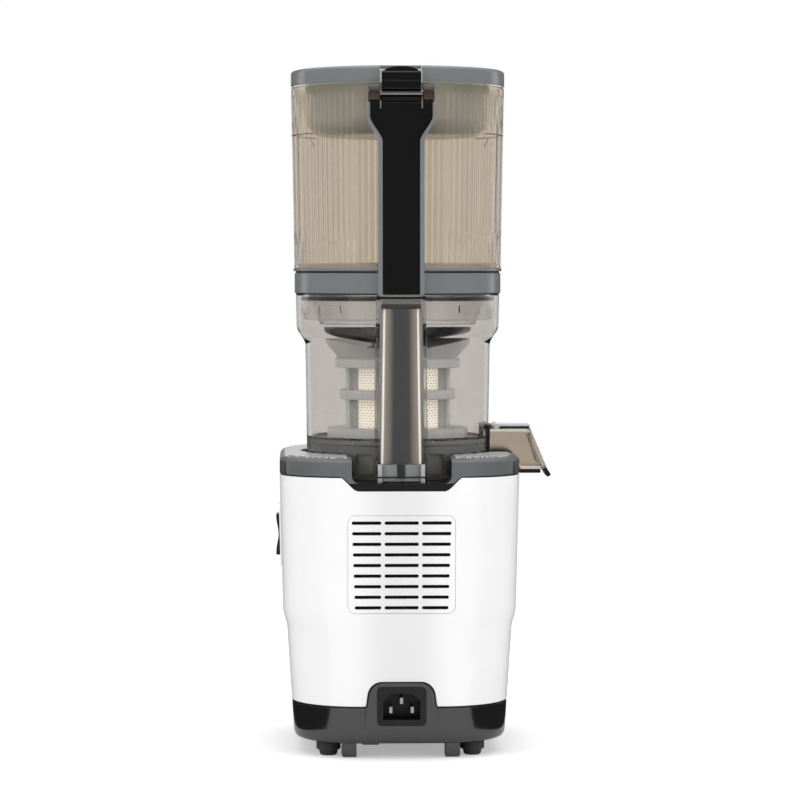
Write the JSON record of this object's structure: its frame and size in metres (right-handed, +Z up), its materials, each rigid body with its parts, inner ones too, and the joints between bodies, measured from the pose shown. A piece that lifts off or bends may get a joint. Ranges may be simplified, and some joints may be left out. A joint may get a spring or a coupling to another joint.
{
  "type": "juicer",
  "caption": "Upright cold press juicer: white motor base with a clear drum, steel strainer, slow screw, tinted fluted hopper with a hinged lid and a capped juice spout.",
  "frame": {"origin": "centre of the footprint's bounding box, on the surface the feet stand on", "axes": "+Z up, +Y towards the back with the inlet, -X towards the juice spout"},
  "size_m": [0.1856, 0.204, 0.4536],
  "materials": {
    "white_plastic": "gloss injection moulded",
    "grey_plastic": "satin moulded",
    "dotted_plate": "dotted print",
    "charcoal_plastic": "fine spark-eroded grain",
    "black_rubber": "matt",
    "black_plastic": "satin",
    "gloss_black": "high gloss",
    "steel": "turned",
    "cast_aluminium": "die cast",
    "brass": "machined",
    "board": "solder resist",
    "clear_grey": "clear tinted, polished",
    "clear_bronze": "clear tinted, polished",
    "smoked_grey": "smoked",
    "column_grey": "satin",
    "magnet": "coated",
    "silicone": "soft",
    "cap_silver": "metallic grey",
    "chute_grey": "satin",
    "strainer_grey": "satin moulded",
    "mesh_steel": "etched sheet",
    "screw_black": "moulded"
  },
  "bodies": {
    "base": {"body_shell": "white_plastic", "vent_panel": "white_plastic", "deck": "grey_plastic", "deck_inlay": "dotted_plate", "base_pan": "charcoal_plastic", "foot_rear_left": "black_rubber", "foot_rear_right": "black_rubber", "foot_front_left": "black_rubber", "foot_front_right": "black_rubber", "inlet_socket": "black_plastic", "inlet_blades": "steel", "switch_bezel": "white_plastic", "motor_can": "steel", "motor_end_cap": "steel", "motor_bearings": "steel", "gearbox_case": "cast_aluminium", "gearbox_cover": "cast_aluminium", "idler_pin": "steel", "drive_bearings": "brass", "shaft_seal": "black_rubber", "control_board": "board", "safety_sensor": "black_plastic", "housing_screws": "steel"},
    "rocker": {"rocker_switch": "black_plastic"},
    "rotor": {"rotor_core": "steel", "rotor_shaft": "steel", "motor_fan": "black_plastic"},
    "idler": {"idler_gear": "brass"},
    "output": {"output_gear": "brass", "drive_shaft": "steel"},
    "drum": {"drum_shell": "clear_grey", "drum_skirt": "smoked_grey", "drum_column": "clear_grey", "column_core": "column_grey", "safety_magnet": "magnet", "drum_seal": "silicone", "juice_spout": "clear_bronze", "spout_gasket": "silicone", "spout_sill": "black_plastic", "pulp_chute": "chute_grey"},
    "cap": {"juice_cap": "cap_silver", "cap_seal": "silicone"},
    "strainer": {"strainer_frame": "strainer_grey", "strainer_mesh": "mesh_steel"},
    "screw": {"juicing_screw": "screw_black", "screw_socket": "steel"},
    "hopper": {"hopper_bucket": "clear_bronze", "hopper_band": "grey_plastic", "hopper_funnel": "charcoal_plastic", "hopper_seal": "silicone", "spine_frame": "grey_plastic", "spine_panel": "gloss_black", "hinge_ears": "clear_bronze", "hinge_pin": "steel"},
    "lid": {"lid_cover": "grey_plastic", "lid_cup": "clear_grey", "lid_knuckle": "black_plastic"}
  },
  "joints": [
    {"name": "power_rocker", "type": "hinge", "parent": "base", "child": "rocker", "pos_m": [0.08412, 0.01, 0.14142], "axis": [0, 1, 0], "range_deg": [-11, 11]},
    {"name": "rotor_spin", "type": "hinge", "parent": "base", "child": "rotor", "pos_m": [0.01065, 0.01, 0.08], "axis": [0, 0, 1], "continuous": true},
    {"name": "idler_spin", "type": "hinge", "parent": "base", "child": "idler", "pos_m": [0.01065, -0.026, 0.12], "axis": [0, 0, 1], "continuous": true},
    {"name": "output_spin", "type": "hinge", "parent": "base", "child": "output", "pos_m": [0.01065, 0.01, 0.15], "axis": [0, 0, 1], "continuous": true},
    {"name": "drum_lift", "type": "slide", "parent": "base", "child": "drum", "axis": [0, 0, 1], "range_m": [0, 0.06]},
    {"name": "juice_cap_flip", "type": "hinge", "parent": "drum", "child": "cap", "pos_m": [-0.05565, 0.01, 0.2143], "axis": [0, 1, 0], "range_deg": [0, 70]},
    {"name": "strainer_lift", "type": "slide", "parent": "drum", "child": "strainer", "axis": [0, 0, 1], "range_m": [0, 0.11]},
    {"name": "screw_spin", "type": "hinge", "parent": "strainer", "child": "screw", "pos_m": [0.01065, 0.01, 0.2332], "axis": [0, 0, 1], "continuous": true},
    {"name": "hopper_lift", "type": "slide", "parent": "strainer", "child": "hopper", "axis": [0, 0, 1], "range_m": [0, 0.05]},
    {"name": "lid_hinge", "type": "hinge", "parent": "hopper", "child": "lid", "pos_m": [0.01065, 0.09, 0.4347], "axis": [-1, 0, 0], "range_deg": [0, 100]}
  ],
  "couplings": [
    {"joint": "idler_spin", "follows": "rotor_spin", "ratio": -0.2},
    {"joint": "output_spin", "follows": "rotor_spin", "ratio": 0.05},
    {"joint": "screw_spin", "follows": "rotor_spin", "ratio": 0.05}
  ]
}
